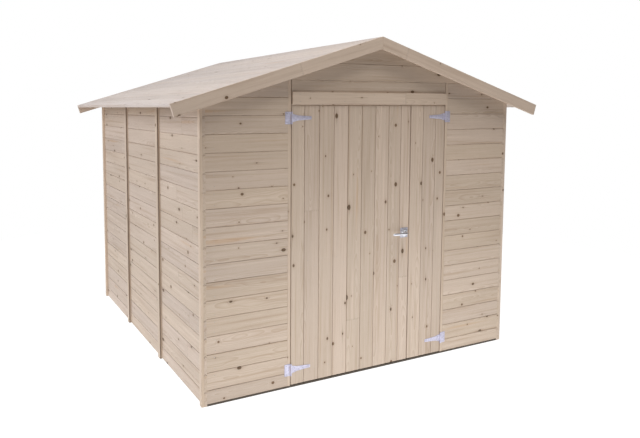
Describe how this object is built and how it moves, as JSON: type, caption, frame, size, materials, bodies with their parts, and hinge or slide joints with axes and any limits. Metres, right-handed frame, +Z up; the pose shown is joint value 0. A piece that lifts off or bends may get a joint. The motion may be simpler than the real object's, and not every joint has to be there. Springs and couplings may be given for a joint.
{
  "type": "wooden garden shed",
  "caption": "Small wooden garden shed of horizontal spruce boards with a low gable roof, barge boards, a pair of unequal boarded doors on T hinges and a lever handle.",
  "frame": {"origin": "on the ground at the middle of the roof's plan", "axes": "+X to the right seen from the door side, +Y from the doors to the rear wall, +Z up"},
  "size_m": [2.79, 2.624, 2.1799],
  "materials": {
    "wall_boards": "planed spruce boards, untreated",
    "door_boards": "planed spruce boards, untreated",
    "roof_boards": "planed spruce boards, untreated",
    "trim_wood": "planed spruce trim, untreated",
    "frame_wood": "sawn spruce framing",
    "treated_wood": "brown impregnated timber",
    "galvanised_steel": "zinc plated",
    "lock_plate_steel": "zinc plated",
    "handle_steel": "satin metal"
  },
  "bodies": {
    "shed": {"front_left_panel": "wall_boards", "front_right_panel": "wall_boards", "front_header_panel": "wall_boards", "front_gable_panel": "wall_boards", "left_wall_front_panel": "wall_boards", "left_wall_middle_panel": "wall_boards", "left_wall_rear_panel": "wall_boards", "right_wall_front_panel": "wall_boards", "right_wall_middle_panel": "wall_boards", "right_wall_rear_panel": "wall_boards", "rear_left_panel": "wall_boards", "rear_right_panel": "wall_boards", "rear_gable_panel": "wall_boards", "front_wall_posts": "frame_wood", "front_wall_rails": "frame_wood", "rear_wall_posts": "frame_wood", "rear_wall_rails": "frame_wood", "left_wall_posts": "frame_wood", "left_wall_rails": "frame_wood", "right_wall_posts": "frame_wood", "right_wall_rails": "frame_wood", "front_gable_frame": "frame_wood", "rear_gable_frame": "frame_wood", "base_sills": "treated_wood", "cover_battens": "trim_wood", "ridge_beam": "frame_wood", "roof_purlins": "frame_wood", "roof_left_slope": "roof_boards", "roof_right_slope": "roof_boards", "front_left_barge": "trim_wood", "front_right_barge": "trim_wood", "rear_left_barge": "trim_wood", "rear_right_barge": "trim_wood", "door_surround": "trim_wood", "hinge_plates": "galvanised_steel"},
    "wide_door": {"wide_door_boards": "door_boards", "wide_door_ledges": "frame_wood", "wide_door_brace": "frame_wood", "wide_door_straps": "galvanised_steel", "handle_plates": "lock_plate_steel"},
    "narrow_door": {"narrow_door_boards": "door_boards", "narrow_door_ledges": "frame_wood", "narrow_door_straps": "galvanised_steel"},
    "handle": {"handle_lever": "handle_steel", "inside_lever": "handle_steel"}
  },
  "joints": [
    {"name": "wide_door_hinge", "type": "hinge", "parent": "shed", "child": "wide_door", "pos_m": [-0.6055, -1.2285, 0.9], "axis": [0, 0, -1], "range_deg": [0, 160]},
    {"name": "narrow_door_hinge", "type": "hinge", "parent": "shed", "child": "narrow_door", "pos_m": [0.6055, -1.2285, 0.9], "axis": [0, 0, 1], "range_deg": [0, 160]},
    {"name": "handle_turn", "type": "hinge", "parent": "wide_door", "child": "handle", "pos_m": [0.265, -1.225, 0.9], "axis": [0, -1, 0], "range_deg": [0, 45], "stiffness_Nm_per_rad": 1.5, "springref_deg": -17.19}
  ]
}
